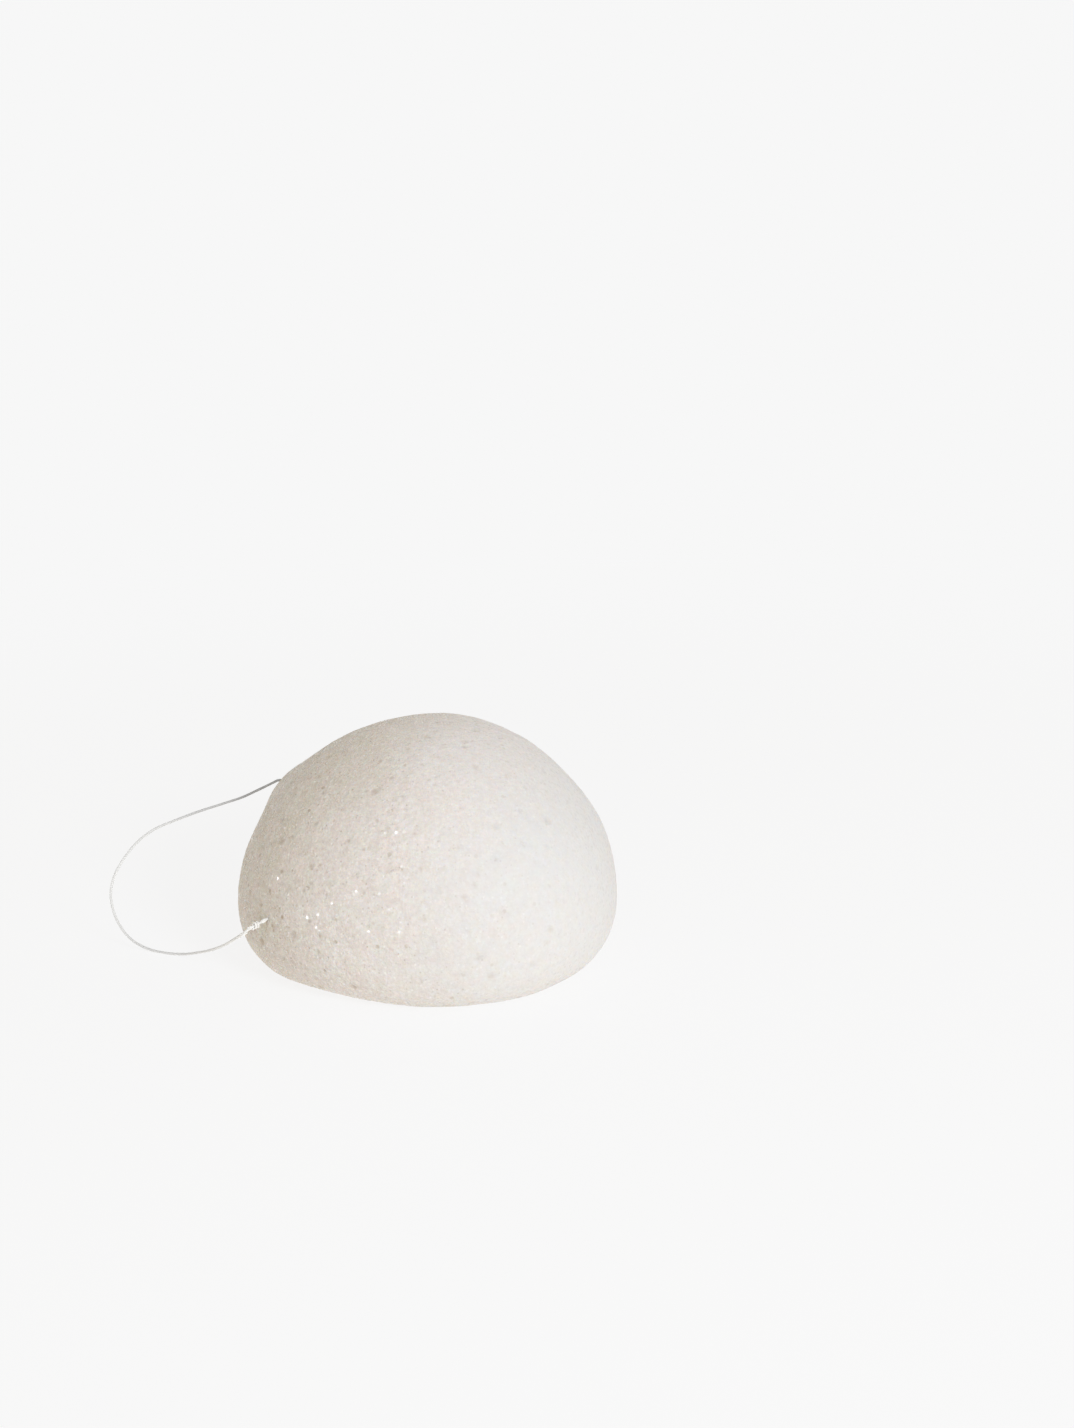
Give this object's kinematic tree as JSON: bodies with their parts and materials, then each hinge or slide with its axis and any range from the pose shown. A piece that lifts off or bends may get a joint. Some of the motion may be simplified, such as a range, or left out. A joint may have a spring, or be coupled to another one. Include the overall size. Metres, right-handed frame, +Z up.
{
  "type": "face exfoliating sponge",
  "caption": "Half-ball konjac foam face sponge with a flat foot, stitched through one side with a knotted cotton thread that forms a hanging loop.",
  "frame": {"origin": "centre of the sponge's flat foot, on the surface it stands on", "axes": "+Z up through the crown of the dome, -Y to the front as pictured, -X to the side the thread loop leaves"},
  "size_m": [0.1022, 0.075, 0.0476],
  "materials": {
    "foam": "soft matte, fine open-celled foam, slightly translucent",
    "thread": "matte spun cotton"
  },
  "bodies": {
    "sponge": {"sponge_body": "foam", "buried_thread": "thread"},
    "thread_loop": {"hanging_loop": "thread", "loop_knot": "thread"}
  },
  "joints": [
    {"name": "loop_swing", "type": "hinge", "parent": "sponge", "child": "thread_loop", "pos_m": [-0.03027, -0.02193, 0.01456], "axis": [0.0196, 0.8612, 0.5079], "range_deg": [0, 105]}
  ]
}
